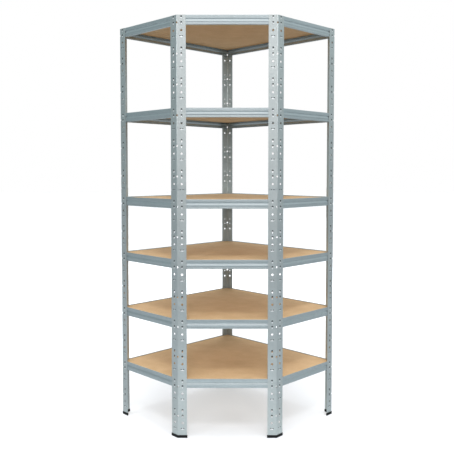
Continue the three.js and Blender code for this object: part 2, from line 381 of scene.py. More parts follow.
def zinc_material(name, light, dark, lines, crystals, smoothest, roughest):
    material, tree, shader, place = new_material(name)
    zinc = add(
        tree,
        "ShaderNodeGroup",
        {
            "Vector": place,
            "Streaks": stretched(tree, place, lines),
            "Light Tone": light,
            "Dark Tone": dark,
            "Crystal Scale": crystals,
            "Smoothest": smoothest,
            "Roughest": roughest,
        },
        node_tree=rolled_zinc,
    ).outputs
    dull = times(tree, smears_on(tree, place), DULL_SHARE)
    rough = plus(tree, zinc["Roughness"], times(tree, dull, ROUGHER_SHARE))
    color = blend_colors(tree, dull, zinc["Color"], dark)
    feed(tree, shader, {"Base Color": color, "Roughness": rough, "Metallic": METALLIC})
    bumped(tree, shader, zinc["Height"], ZINC_BUMP, ZINC_RELIEF)
    return material


post_steel = zinc_material(
    "post_steel",
    light=(0.605, 0.65, 0.652, 1),
    dark=(0.505, 0.55, 0.556, 1),
    lines=LINES_ALONG_POST,
    crystals=120.0,
    smoothest=0.27,
    roughest=0.38,
)
beam_steel = zinc_material(
    "beam_steel",
    light=(0.54, 0.60, 0.62, 1),
    dark=(0.45, 0.51, 0.53, 1),
    lines=LINES_ALONG_BEAM,
    crystals=120.0,
    smoothest=0.26,
    roughest=0.36,
)
# Bright zinc of the studs; the same finish is laid on the press slopes that face up as a painted
# highlight.
stud_zinc = zinc_material(
    "stud_zinc",
    light=(0.93, 0.94, 0.95, 1),
    dark=(0.80, 0.82, 0.84, 1),
    lines=LINES_ANY_WAY,
    crystals=300.0,
    smoothest=0.22,
    roughest=0.34,
)
# Near-black steel is painted shade: it darkens the pockets, the walls of the holes and the
# dimples.
pressed_steel = zinc_material(
    "pressed_steel",
    light=(0.065, 0.07, 0.075, 1),
    dark=(0.03, 0.033, 0.036, 1),
    lines=LINES_ANY_WAY,
    crystals=300.0,
    smoothest=0.5,
    roughest=0.7,
)
print("zinc finishes", [m.name for m in (post_steel, beam_steel, stud_zinc, pressed_steel)])

# %% [markdown]
# Fibreboard is pressed wood flour. Its faces are tan with short pale and dark fibres that lie
# every way, and its sawn edges are coarser and darker. One group makes the fibres by bending a
# fine noise with a coarse one.

# %% Group: pressed fibres
MOTTLE_SHARE, FIBRE_SHARE = 0.45, 0.6


def pressed_fibres_group():
    tree, given, result = new_tree(
        "pressed_fibres",
        "ShaderNodeTree",
        [
            ("Vector", "Vector"),
            ("Fine Scale", "Float", 420.0),
            ("Light Tone", "Color", (0.6, 0.42, 0.26, 1)),
            ("Dark Tone", "Color", (0.45, 0.3, 0.17, 1)),
            ("Fleck Tone", "Color", (0.3, 0.18, 0.09, 1)),
        ],
        [("Color", "Color"), ("Height", "Float")],
    )
    mottle = noise(tree, given["Vector"], 14.0, 5.0, 0.6)
    fibres = noise(tree, given["Vector"], given["Fine Scale"], 3.0, 0.7, 2.4)
    flecks = add(
        tree,
        "ShaderNodeTexVoronoi",
        {"Vector": given["Vector"], "Scale": 260.0, "Randomness": 1.0},
    ).outputs[0]
    mottle_share = times(tree, mottle, MOTTLE_SHARE)
    fibre_share = times(tree, fibres, FIBRE_SHARE)
    tone = spread(tree, plus(tree, mottle_share, fibre_share), 0.38, 0.7)
    color = blend_colors(tree, tone, given["Dark Tone"], given["Light Tone"])
    fleck = spread(tree, flecks, 0.16, 0.08, 0.0, 0.5)
    color = blend_colors(tree, fleck, color, given["Fleck Tone"])
    feed(tree, result, {"Color": color, "Height": fibres})
    return tree


pressed_fibres = pressed_fibres_group()
print("group", pressed_fibres.name)

# %% Fibreboard finishes: faces and sawn edges
BOARD_ROUGH, BOARD_WORN = 0.78, 0.66
BOARD_RELIEF = 0.0004
BOARD_SHINE = 0.25


def board_material(name, light, dark, fleck, fine_scale, bump):
    material, tree, shader, place = new_material(name)
    fibres = add(
        tree,
        "ShaderNodeGroup",
        {
            "Vector": place,
            "Fine Scale": fine_scale,
            "Light Tone": light,
            "Dark Tone": dark,
            "Fleck Tone": fleck,
        },
        node_tree=pressed_fibres,
    ).outputs
    rough = spread(tree, smears_on(tree, place), 0.0, 1.0, BOARD_ROUGH, BOARD_WORN)
    finish = {"Base Color": fibres["Color"], "Roughness": rough}
    feed(tree, shader, {**finish, "Specular IOR Level": BOARD_SHINE})
    bumped(tree, shader, fibres["Height"], bump, BOARD_RELIEF)
    return material


board_face = board_material(
    "board_face",
    light=(0.715, 0.505, 0.297, 1),
    dark=(0.575, 0.388, 0.211, 1),
    fleck=(0.38, 0.23, 0.12, 1),
    fine_scale=420.0,
    bump=0.25,
)
board_edge = board_material(
    "board_edge",
    light=(0.50, 0.34, 0.20, 1),
    dark=(0.33, 0.21, 0.12, 1),
    fleck=(0.22, 0.13, 0.07, 1),
    fine_scale=700.0,
    bump=0.6,
)
print("board finishes", board_face.name, board_edge.name)

# %% [markdown]
# The feet are injection-moulded caps with a fine leathery grain, a little dusty near the floor.

# %% Moulded black plastic
BLACK = (0.006, 0.0065, 0.007, 1)
DUST = (0.06, 0.058, 0.052, 1)
DUST_HEIGHT, DUST_ABOVE, DUST_BELOW = 0.004, 0.05, 0.5
GRAIN_BUMP, GRAIN_RELIEF = 0.3, 0.0001
PLASTIC_SHINE = 0.2


def moulded_plastic():
    material, tree, shader, place = new_material("foot_plastic")
    grain = {"Vector": place, "Scale": 1400.0}
    grain = add(tree, "ShaderNodeTexVoronoi", grain, feature="SMOOTH_F1").outputs[0]
    smears = {"Vector": place, "Scale": 60.0}
    smears = add(tree, "ShaderNodeGroup", smears, node_tree=handling).outputs["Mask"]
    height = add(tree, "ShaderNodeSeparateXYZ", {0: place}).outputs["Z"]
    low = spread(tree, height, DUST_HEIGHT, 0.0, DUST_ABOVE, DUST_BELOW)
    dust = times(tree, smears, low)
    color = blend_colors(tree, dust, BLACK, DUST)
    rough = spread(tree, dust, 0.0, 0.6, 0.42, 0.75)
    finish = {"Base Color": color, "Roughness": rough, "Specular IOR Level": PLASTIC_SHINE}
    feed(tree, shader, finish)
    bumped(tree, shader, grain, GRAIN_BUMP, GRAIN_RELIEF)
    return material


foot_plastic = moulded_plastic()
print("plastic", foot_plastic.name)

# %% [markdown]
# ## The plan
# Every piece hangs on the same plan: five creases, and the sides between them. The sizes are
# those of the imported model, in metres.

# %% Sizes shared by the posts and the beams
MM = 0.001
HEIGHT = 1800 * MM
WALL_SIDE = 700 * MM
END_SIDE = 400 * MM
ROWS = 14
PITCH = HEIGHT / ROWS
POST_SHEET = 1 * MM
CREASE_RADIUS = 3 * MM
FLANGE = 39 * MM
HOLE_LINE = 20 * MM
GAP = 0.3 * MM
LAYER = POST_SHEET + GAP
LAP_ROW = 6
SHELF_ROWS = [12, 10, 8, 6, 3, 0]
LAP_LINE = HEIGHT - LAP_ROW * PITCH
LAP_TOP = LAP_LINE + 37 * MM
LAP_BOTTOM = LAP_LINE - 100 * MM


def plan():
    half_width = WALL_SIDE * math.sqrt(0.5)
    half_front = (WALL_SIDE - END_SIDE) * math.sqrt(0.5)
    depth = (WALL_SIDE + END_SIDE) * math.sqrt(0.5)
    back = (depth + CREASE_RADIUS * (math.sqrt(2) - 1)) / 2
    points = {
        "front_left": Vector((-half_front, back - depth)),
        "front_right": Vector((half_front, back - depth)),
        "right": Vector((half_width, back - half_width)),
        "back": Vector((0.0, back)),
        "left": Vector((-half_width, back - half_width)),
    }
    names = list(points)
    sides = []
    for index, name in enumerate(["front", "right_end", "right_wall", "left_wall", "left_end"]):
        start, end = points[names[index]], points[names[(index + 1) % 5]]
        along = (end - start).normalized()
        turn = math.atan2(along.y, along.x)
        side = {"name": name, "start": start, "along": along, "turn": turn}
        sides.append({**side, "length": (end - start).length})
    corners = []
    for index, name in enumerate(names):
        inner = math.pi - sides[index]["along"].angle(sides[index - 1]["along"])
        turn = sides[index]["turn"]
        corners.append({"name": name, "point": points[name], "turn": turn, "inner": inner})
    return corners, sides


corners, sides = plan()
print("corners", [(c["name"], round(math.degrees(c["inner"]))) for c in corners])
print("sides", [(s["name"], round(s["length"], 3)) for s in sides])

# %% [markdown]
# ## Folded sheet
# Posts, beams and feet are all sheet, or walls, that follow a line. One function draws the
# closed outline of such a section: it walks along the middle of the sheet, turns round every
# bend, and sets a point on each side as it goes. The free edges are eased a little.

# %% Draw the outline of a folded sheet
def folded_outline(line, thickness, ease, steps=8, rounds=2):
    """The line holds (x, y, bend radius). The outline runs counter-clockwise."""
    points = [Vector(p[:2]) for p in line]
    ways = [(b - a).normalized() for a, b in zip(points, points[1:])]
    half = thickness / 2
    left, right = [], []

    def set_pair(place, normal, offset):
        left.append(place + normal * offset)
        right.append(place - normal * offset)

    def tip(place, way, normal):
        for step in range(rounds):
            turn = math.pi / 2 * step / (rounds - 1)
            back, out = ease * (1 - math.cos(turn)), half - ease * (1 - math.sin(turn))
            set_pair(place + way * back, normal, out)

    tip(points[0], ways[0], Vector((-ways[0].y, ways[0].x)))
    for index in range(1, len(points) - 1):
        came, goes = ways[index - 1], ways[index]
        turn = math.atan2(came.x * goes.y - came.y * goes.x, came.dot(goes))
        bend = math.copysign(line[index][2], turn)
        normal = Vector((-came.y, came.x))
        centre = points[index] - came * abs(bend) * math.tan(abs(turn) / 2) + normal * bend
        for step in range(steps + 1):
            angle = turn * step / steps
            spoke = normal * math.cos(angle) - came * math.sin(angle)
            set_pair(centre - spoke * bend, spoke, half)
    end_left, end_right = len(left), len(right)
    tip(points[-1], -ways[-1], Vector((-ways[-1].y, ways[-1].x)))
    left[end_left:] = left[end_left:][::-1]
    right[end_right:] = right[end_right:][::-1]
    return right + left[::-1]


def angle_line(inner, inset, reach, bend):
    """Middle line of an angle: its first flange along +X, its crease at the origin."""
    second = Vector((math.cos(inner), math.sin(inner)))
    halving = Vector((math.cos(inner / 2), math.sin(inner / 2))) * (inset / math.sin(inner / 2))
    far = second * reach + Vector((second.y, -second.x)) * inset
    return [(far.x, far.y, 0), (halving.x, halving.y, bend), (reach, inset, 0)]


print("outline helpers ready")

# %% Stack outlines into a closed body
def loft(name, rings):
    """Join rings of equally many points, from the first to the last, and close both ends."""
    count = len(rings[0])
    vertices = [tuple(point) for ring in rings for point in ring]
    faces = [tuple(range(count))[::-1]]
    for level in range(len(rings) - 1):
        for index in range(count):
            a, b = level * count + index, level * count + (index + 1) % count
            faces.append((a, b, b + count, a + count))
    faces.append(tuple(range(len(vertices) - count, len(vertices))))
    mesh = bpy.data.meshes.new(name)
    mesh.from_pydata(vertices, [], faces)
    mesh.update()
    return mesh


def raised(outline, height):
    return [Vector((p.x, p.y, height)) for p in outline]


print("loft ready")

# %% [markdown]
# ## Growing pieces with Geometry Nodes
# A tree is run once, as a modifier, on a bare object. Its inputs are set by their identifiers
# before the first evaluation. The result becomes a plain mesh, and the modifier goes. Only
# the narrow faces of the bends are shaded round, so that the flanges stay flat beside them.

# %% Run a tree and keep its mesh
EDGE_ANGLE = math.radians(13.5)
WIDE_FACE = 300 * MM * MM
WIDE_FOOT_FACE = 60 * MM * MM


def freeze(piece):
    graph = bpy.context.evaluated_depsgraph_get()
    mesh = bpy.data.meshes.new_from_object(
        piece.evaluated_get(graph), preserve_all_data_layers=True, depsgraph=graph
    )
    piece.modifiers.clear()
    piece.data = mesh


def grow(name, tree, values, mesh=None):
    piece = holder(name, mesh or bpy.data.meshes.new(name))
    modifier = piece.modifiers.new(tree.name, "NODES")
    modifier.node_group = tree
    for item in tree.interface.items_tree:
        if item.in_out == "INPUT" and item.name in values:
            modifier[item.identifier] = values[item.name]
    freeze(piece)
    return piece


def smooth_bends(piece, flat_area):
    """Shade the bends round, and keep every face that is larger than the area flat."""
    for face in piece.data.polygons:
        face.use_smooth = face.area < flat_area
    piece.data.set_sharp_from_angle(angle=EDGE_ANGLE)


def settle(piece, point, height, turn):
    """Move the place into the mesh, and let the piece stand for the node it is named after."""
    place = Matrix.Translation((point.x, point.y, height)) @ Matrix.Rotation(turn, 4, "Z")
    piece.data.transform(place)
    piece.data.name = piece.name
    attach(piece, "root")
    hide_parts(node_of(piece.name))


def node_of(piece_name):
    return piece_name[: -len("_look")]


def drop(helper):
    bpy.data.objects.remove(helper)


print("growers ready")

# %% Helpers for the trees that grow pieces
def shape_of(tree, item):
    return add(tree, "GeometryNodeObjectInfo", {"Object": item}).outputs["Geometry"]


def moved(tree, shape, place=(0, 0, 0), turn=(0, 0, 0)):
    inputs = {"Geometry": shape, "Translation": place, "Rotation": turn}
    return add(tree, "GeometryNodeTransform", inputs).outputs[0]


def copied(tree, points, shape):
    inputs = {"Points": points, "Instance": shape}
    return add(tree, "GeometryNodeInstanceOnPoints", inputs).outputs[0]


def gathered(tree, *shapes):
    join = add(tree, "GeometryNodeJoinGeometry")
    for shape in shapes:
        tree.links.new(shape, join.inputs[0])
    return join.outputs[0]


def made_real(tree, shape):
    return add(tree, "GeometryNodeRealizeInstances", {0: shape}).outputs[0]


print("tree helpers ready")

# %% [markdown]
# ## Punching tools
# A press strokes each flange once a row: two keys that take the studs, a round screw hole, and
# a half-moon mark with a dimple in each corner, which stiffens the flange. Above each key it
# presses a small pocket, and below the key a slope that leads the stud down to its seat. All
# of these are closed forms that are cut away. Behind a pocket or a mark the sheet is swollen
# first, so that it keeps its thickness. The alternative, a bump in the material, would leave
# the sheet flat in the finished mesh.
#
# A tool is drawn with X across the flange from its hole line, Y into the sheet and Z up from
# the line of the row. Each face that it cuts takes the finish of the tool: the pockets, the walls
# of the holes and the dimples are painted near-black with shade, and the slopes that face up are
# painted bright as a highlight. The solver takes an overlap inside one tool for a hollow, so
# forms that overlap are kept in separate tools.

# %% Outlines of the holes
KEY_DROP = 3 * MM
KEY_SPACING = 24 * MM
KEY_WIDE_DROP, KEY_WIDE_RADIUS = 7.6 * MM, 2.5 * MM
KEY_FOOT_DROP, KEY_FOOT_RADIUS = 10 * MM, 2.0 * MM
ROUND_DROP = 64 * MM
ROUND_RADIUS = 4.5 * MM
PUNCH_REACH = 2 * LAYER + 2 * MM
RIM, RIM_DEPTH = 0.25 * MM, 0.3 * MM
ROUND_STEPS = 28
KEY_WIDE_STEPS, KEY_FOOT_STEPS = 16, 10


def circle(radius, count, drop, across=0.0):
    turns = [2 * math.pi * step / count for step in range(count)]
    return [Vector((across + radius * math.cos(t), radius * math.sin(t) - drop)) for t in turns]


def key_outline(drop, grown):
    """A teardrop: the arcs of a large and a small circle, joined by straight flanks."""
    top, foot = KEY_WIDE_RADIUS + grown, KEY_FOOT_RADIUS + grown
    lean = math.asin((top - foot) / (KEY_FOOT_DROP - KEY_WIDE_DROP))
    points = []
    for step in range(KEY_WIDE_STEPS + 1):
        turn = -lean + (math.pi + 2 * lean) * step / KEY_WIDE_STEPS
        height = top * math.sin(turn) - (drop + KEY_WIDE_DROP)
        points.append(Vector((top * math.cos(turn), height)))
    for step in range(KEY_FOOT_STEPS + 1):
        turn = math.pi + lean + (math.pi - 2 * lean) * step / KEY_FOOT_STEPS
        height = foot * math.sin(turn) - (drop + KEY_FOOT_DROP)
        points.append(Vector((foot * math.cos(turn), height)))
    return points


def into_sheet(outline, depth):
    """Stand an outline up in the flange, at a depth below its outer face."""
    return [Vector((p.x, depth, p.y)) for p in outline]


def punch(outline_at):
    """A cutter that is wider by the rim at the outer face, and goes right through."""
    rings = [
        into_sheet(outline_at(0.0), PUNCH_REACH),
        into_sheet(outline_at(0.0), RIM_DEPTH),
        into_sheet(outline_at(2 * RIM), -RIM_DEPTH),
    ]
    return loft("punch", rings)


print("key", len(key_outline(KEY_DROP, 0.0)), "points")


# %% Pockets, slopes, half-moon and dimples
FACE_DEPTH = 0.02 * MM
PRESS_NEAR, PRESS_FAR = -0.3 * MM, 0.8 * MM
SWELL_NEAR, SWELL_FAR = 0.9 * MM, 1.6 * MM
POCKET_RADIUS, POCKET_STEPS = 3.8 * MM, 28
POCKET_FLOOR_SHARE, POCKET_FLOOR_DROP = 0.78, 0.6 * MM
SLOPE_RADIUS, SLOPE_DROP, SLOPE_STEPS = 2.4 * MM, 11.3 * MM, 24
SLOPE_FLOOR_RADIUS, SLOPE_FLOOR_DROP = 1.3 * MM, 9.7 * MM
MOON_HALF, MOON_FLOOR_HALF = 7.6 * MM, 6.2 * MM
MOON_TOP, MOON_FOOT = 85.8 * MM, 93.0 * MM
MOON_FLOOR_TOP, MOON_FLOOR_FOOT = 86.5 * MM, 90.6 * MM
MOON_STEPS, MOON_SQUARENESS = 14, 0.6
DIMPLE_RADIUS, DIMPLE_FLOOR_SHARE, DIMPLE_STEPS = 2.5 * MM, 0.9, 12
DIMPLE_DROP, DIMPLE_SPREAD, DIMPLE_FAR = 87.6 * MM, 5.2 * MM, 0.88 * MM


def pressed(outline, floor_outline, near, far):
    """A blind form: straight down to just under the face, then tapering to its floor."""
    rings = [into_sheet(floor_outline, far)]
    if near < 0:
        rings.append(into_sheet(outline, FACE_DEPTH))
    return loft("pressed", rings + [into_sheet(outline, near)])


def pocket(drop, near, far):
    drop += POCKET_RADIUS
    outline = circle(POCKET_RADIUS, POCKET_STEPS, drop)
    floor_radius = POCKET_RADIUS * POCKET_FLOOR_SHARE
    floor_outline = circle(floor_radius, POCKET_STEPS, drop + POCKET_FLOOR_DROP)
    return pressed(outline, floor_outline, near, far)


def slope(drop):
    outline = circle(SLOPE_RADIUS, SLOPE_STEPS, drop + SLOPE_DROP)
    floor_outline = circle(SLOPE_FLOOR_RADIUS, SLOPE_STEPS, drop + SLOPE_FLOOR_DROP)
    return pressed(outline, floor_outline, PRESS_NEAR, PRESS_FAR)


def half_moon(half_width, top, foot):
    points = []
    for step in range(MOON_STEPS + 1):
        turn = math.pi + math.pi * step / MOON_STEPS
        sink = abs(math.sin(turn)) ** MOON_SQUARENESS
        points.append(Vector((half_width * math.cos(turn), -top - (foot - top) * sink)))
    return points


def trough(near, far):
    outline = half_moon(MOON_HALF, MOON_TOP, MOON_FOOT)
    floor_outline = half_moon(MOON_FLOOR_HALF, MOON_FLOOR_TOP, MOON_FLOOR_FOOT)
    return pressed(outline, floor_outline, near, far)


def dimple(side):
    across = side * DIMPLE_SPREAD
    outline = circle(DIMPLE_RADIUS, DIMPLE_STEPS, DIMPLE_DROP, across)
    floor_radius = DIMPLE_RADIUS * DIMPLE_FLOOR_SHARE
    floor_outline = circle(floor_radius, DIMPLE_STEPS, DIMPLE_DROP, across)
    return pressed(outline, floor_outline, PRESS_NEAR, DIMPLE_FAR)


print("half-moon", len(half_moon(MOON_HALF, MOON_TOP, MOON_FOOT)), "points")

# %% Join the forms into tools
# Tool faces that point down become slopes that face up once cut, and keep a painted highlight.
PAINTED_HIGHLIGHT_SLOPE = -0.12


def joined(name, groups):
    """Join meshes into one. Each group is a list of meshes and the finish of their faces."""
    whole = bmesh.new()
    for index, (meshes, _) in enumerate(groups):
        for mesh in meshes:
            known = len(whole.faces)
            whole.from_mesh(mesh)
            whole.faces.ensure_lookup_table()
            for face in whole.faces[known:]:
                face.material_index = index
            bpy.data.meshes.remove(mesh)
    bmesh.ops.triangulate(whole, faces=whole.faces)
    bmesh.ops.recalc_face_normals(whole, faces=whole.faces)
    result = bpy.data.meshes.new(name)
    whole.to_mesh(result)
    whole.free()
    for _, finish in groups:
        result.materials.append(finish)
    return result


def new_tool(name, *groups):
    return holder(name, joined(name, groups))


def plain_above(tool, bright, plain):
    """Keep the painted highlight only on the slopes that face up once they are cut, as if lit
    from above.
    """
    for face in tool.data.polygons:
        if face.material_index == bright and face.normal.z > PAINTED_HIGHLIGHT_SLOPE:
            face.material_index = plain


KEYS = (KEY_DROP, KEY_DROP + KEY_SPACING)
holes = [
    punch(lambda grown: key_outline(KEYS[0], grown)),
    punch(lambda grown: key_outline(KEYS[1], grown)),
    punch(lambda grown: circle(ROUND_RADIUS + grown, ROUND_STEPS, ROUND_DROP)),
]
# The pockets above the keys are painted near-black with shade.
painted_shade_pockets = [pocket(drop, PRESS_NEAR, PRESS_FAR) for drop in KEYS]
# The slopes below the keys and the half-moon are painted bright as a highlight where they face
# up.
painted_highlight_slopes = [slope(drop) for drop in KEYS] + [trough(PRESS_NEAR, PRESS_FAR)]
swells = [pocket(drop, SWELL_NEAR, SWELL_FAR) for drop in KEYS] + [trough(SWELL_NEAR, SWELL_FAR)]
dimples = [dimple(-1), dimple(1)]
# The walls of the holes are painted near-black with shade.
hole_tool = new_tool("hole_tool", (holes, pressed_steel))
press_groups = [(painted_shade_pockets, pressed_steel), (painted_highlight_slopes, stud_zinc), ([], post_steel)]
press_tool = new_tool("press_tool", *press_groups)
plain_above(press_tool, bright=1, plain=2)
# The dimples are painted near-black with shade.
dimple_tool = new_tool("dimple_tool", (dimples, pressed_steel))
swell_form = new_tool("swell_form", (swells, post_steel))
print("tools", [len(o.data.polygons) for o in (hole_tool, press_tool, dimple_tool, swell_form)])

# %% The hole on the crease, punched along the line that halves the angle
CREASE_DROP = 32 * MM
CREASE_HOLE_RADIUS = 4 * MM
CREASE_NEAR, CREASE_FAR = -3 * MM, 12 * MM

outline = circle(CREASE_HOLE_RADIUS, ROUND_STEPS, CREASE_DROP)
crease_rings = [
    [Vector((depth, p.x, p.y)) for p in outline] for depth in (CREASE_NEAR, CREASE_FAR)
]
# The wall of the crease hole is painted near-black with shade.
crease_tool = new_tool("crease_tool", ([loft("crease", crease_rings)], pressed_steel))
print("crease tool", len(crease_tool.data.polygons))

# %% [markdown]
# ## Posts
# A post is a folded strip of one-millimetre sheet. The upper half ends below in a tongue that
# is set back behind the lower half, so that the two halves lap flush. The blank is stacked
# from its outline here. Its levels run across every hole, a little off the middle: a face with
# a whole hole inside comes out of the solver with crossed edges. The tree then does the work
# of the press: it lines the tools up in rows with Instance on Points, swells the sheet where
# it is pressed, and cuts.

# %% Blanks of the two halves
POST_BEND = CREASE_RADIUS - POST_SHEET / 2
SHEAR = 0.15 * MM
JOGGLE = 6 * MM
JOGGLE_STEPS = 5
SOLE = 4 * MM
POST_STEPS = 12
CROSSING_DROPS = (8.91 * MM, 32.87 * MM, 63.73 * MM, 88.13 * MM, 110 * MM)


def post_ring(inner, height, set_back, thinner=0.0):
    inset = POST_SHEET / 2 + set_back
    line = angle_line(inner, inset, FLANGE - thinner, POST_BEND)
    return raised(folded_outline(line, POST_SHEET - 2 * thinner, SHEAR, POST_STEPS), height)


def crossings(low, high):
    """Levels that run across every hole between two heights."""
    levels = [HEIGHT - row * PITCH - drop for row in range(ROWS) for drop in CROSSING_DROPS]
    return [(height, 0.0) for height in sorted(levels) if low + MM < height < high - MM]


def post_blank(inner, half):
    if half == "lower":
        levels = [(SOLE + GAP, 0.0), *crossings(SOLE, LAP_TOP), (LAP_TOP, 0.0)]
    else:
        levels = [(LAP_BOTTOM, LAYER)]
        for step in range(JOGGLE_STEPS + 1):
            share = step / JOGGLE_STEPS
            eased = share * share * (3 - 2 * share)
            levels.append((LAP_TOP + GAP + JOGGLE * share, LAYER * (1 - eased)))
        levels += [*crossings(LAP_TOP + JOGGLE, HEIGHT), (HEIGHT, 0.0)]
    bottom, top = levels[0], levels[-1]
    levels[0] = (bottom[0] + SHEAR, bottom[1])
    levels[-1] = (top[0] - SHEAR, top[1])
    first = post_ring(inner, bottom[0], bottom[1], SHEAR)
    last = post_ring(inner, top[0], top[1], SHEAR)
    middle = [post_ring(inner, height, set_back) for height, set_back in levels]
    return loft("blank", [first, *middle, last])


print("levels across holes", len(crossings(SOLE, HEIGHT)))

# %% Tree: a punched post
def punched_post_tree():
    tree, given, result = new_tree(
        "punched_post",
        "GeometryNodeTree",
        [
            ("Geometry", "Geometry"),
            ("Holes", "Object"),
            ("Crease Hole", "Object"),
            ("Press", "Object"),
            ("Dimples", "Object"),
            ("Swell", "Object"),
            ("Inner Angle", "Float", math.pi / 2),
            ("Hole Line", "Float", HOLE_LINE),
            ("Row Pitch", "Float", PITCH),
            ("Top Row", "Float", HEIGHT),
            ("Hole Rows", "Int", ROWS),
            ("Pressed Rows", "Int", ROWS),
        ],
        [("Geometry", "Geometry")],
    )
    cosine = calculate(tree, "COSINE", given["Inner Angle"])
    sine = calculate(tree, "SINE", given["Inner Angle"])
    far_x = times(tree, cosine, given["Hole Line"])
    far_y = times(tree, sine, given["Hole Line"])
    far_place = xyz(tree, far_x, far_y)
    near_place = xyz(tree, given["Hole Line"])
    far_turn = xyz(tree, z=plus(tree, given["Inner Angle"], math.pi))
    half_turn = xyz(tree, z=times(tree, given["Inner Angle"], 0.5))

    def on_both_flanges(form):
        shape = shape_of(tree, form)
        return moved(tree, shape, near_place), moved(tree, shape, far_place, far_turn)

    def in_rows(rows, *shapes):
        top = xyz(tree, z=given["Top Row"])
        down = xyz(tree, z=times(tree, given["Row Pitch"], -1.0))
        line = {"Count": rows, "Start Location": top, "Offset": down}
        line = add(tree, "GeometryNodeMeshLine", line).outputs[0]
        return made_real(tree, copied(tree, line, gathered(tree, *shapes)))

    crease = moved(tree, shape_of(tree, given["Crease Hole"]), turn=half_turn)
    tools = [in_rows(given["Hole Rows"], *on_both_flanges(given["Holes"]), crease)]
    for form in ("Press", "Dimples"):
        tools.append(in_rows(given["Pressed Rows"], *on_both_flanges(given[form])))
    swells = in_rows(given["Pressed Rows"], *on_both_flanges(given["Swell"]))
    swollen = add(tree, "GeometryNodeMeshBoolean", operation="UNION", solver="MANIFOLD")
    for shape in (given["Geometry"], swells):
        tree.links.new(shape, swollen.inputs["Mesh 2"])
    cut = add(tree, "GeometryNodeMeshBoolean", operation="DIFFERENCE", solver="MANIFOLD")
    tree.links.new(swollen.outputs[0], cut.inputs["Mesh 1"])
    for shape in tools:
        tree.links.new(shape, cut.inputs["Mesh 2"])
    feed(tree, result, {0: made_real(tree, cut.outputs[0])})
    return tree


punched_post = punched_post_tree()
print("tree", punched_post.name, len(punched_post.nodes), "nodes")

# %% Punch the ten halves
for corner in corners:
    for half in ("lower", "upper"):
        first_row = LAP_ROW if half == "lower" else 0
        values = {
            "Holes": hole_tool,
            "Crease Hole": crease_tool,
            "Press": press_tool,
            "Dimples": dimple_tool,
            "Swell": swell_form,
            "Inner Angle": corner["inner"],
            "Hole Line": HOLE_LINE,
            "Row Pitch": PITCH,
            "Top Row": HEIGHT - first_row * PITCH,
            "Hole Rows": ROWS - LAP_ROW if half == "lower" else LAP_ROW + 1,
            "Pressed Rows": ROWS - LAP_ROW if half == "lower" else LAP_ROW,
        }
        blank = post_blank(corner["inner"], half)
        blank.materials.append(post_steel)
        name = corner["name"] + "_post_" + half + "_look"
        post = grow(name, punched_post, values, blank)
        smooth_bends(post, WIDE_FACE)
        settle(post, corner["point"], 0.0, corner["turn"])
    print(name, len(post.data.polygons), "faces")

# %% [markdown]
# ## Feet
# A foot is a black moulded cap with an angle-shaped socket. It follows the outline of the
# post at a small distance, so it is drawn with the same folded outline, only thicker. Its
# long edges are rounded by a few rings close together, and the socket goes down to the sole.

# %% Mould the five feet
FOOT_HEIGHT = 12 * MM
FOOT_PROUD = 1.8 * MM
SOCKET_PROUD = 0.3 * MM
FOOT_ROUND = 1.0 * MM
FOOT_BEND_STEPS, FOOT_END_STEPS = 8, 5
FOOT_LEVELS = [  # height, and how far the outline stands off the post
    (0.0, FOOT_PROUD - 0.8 * MM),
    (0.2 * MM, FOOT_PROUD - 0.4 * MM),
    (0.5 * MM, FOOT_PROUD - 0.1 * MM),
    (0.9 * MM, FOOT_PROUD),
    (FOOT_HEIGHT - 0.8 * MM, FOOT_PROUD),
    (FOOT_HEIGHT - 0.35 * MM, FOOT_PROUD - 0.12 * MM),
    (FOOT_HEIGHT - 0.1 * MM, FOOT_PROUD - 0.35 * MM),
    (FOOT_HEIGHT, FOOT_PROUD - 0.7 * MM),
    (FOOT_HEIGHT, SOCKET_PROUD + 0.2 * MM),
    (FOOT_HEIGHT - 0.2 * MM, SOCKET_PROUD),
    (SOLE, SOCKET_PROUD),
]


def foot_ring(inner, height, proud):
    line = angle_line(inner, POST_SHEET / 2, FLANGE + proud, POST_BEND)
    thickness = POST_SHEET + 2 * proud
    ease = min(proud, FOOT_ROUND)
    outline = folded_outline(line, thickness, ease, FOOT_BEND_STEPS, FOOT_END_STEPS)
    return raised(outline, height)


for corner in corners:
    rings = [foot_ring(corner["inner"], height, proud) for height, proud in FOOT_LEVELS]
    foot = holder(corner["name"] + "_foot_look", loft("foot", rings))
    foot.data.materials.append(foot_plastic)
    smooth_bends(foot, WIDE_FOOT_FACE)
    settle(foot, corner["point"], 0.0, corner["turn"])
print(foot.name, len(foot.data.polygons), "faces")

# %% [markdown]
# ## Studs
# A stud is a turned rivet: a domed head outside the post, a shank through the key, and a tail
# spread flat behind the wall of the beam. Where both halves of a post lap, the beam hangs one
# layer deeper, and its studs have longer shanks.

# %% Turn a stud
KEY_PLAY = 0.3 * MM
BEAM_SHEET = 0.75 * MM
STUD_SEGMENTS = 24
SHANK_RADIUS = 1.7 * MM
HEAD_MM = [  # radius, and height above the post
    (0.0, 1.5),
    (0.9, 1.46),
    (1.7, 1.28),
    (2.3, 1.0),
    (2.65, 0.66),
    (2.8, 0.3),
    (2.74, 0.08),
    (2.6, 0.0),
]
TAIL_MM = [(2.5, 0.05), (2.7, 0.3), (2.5, 0.6), (1.8, 0.8), (0.0, 0.85)]


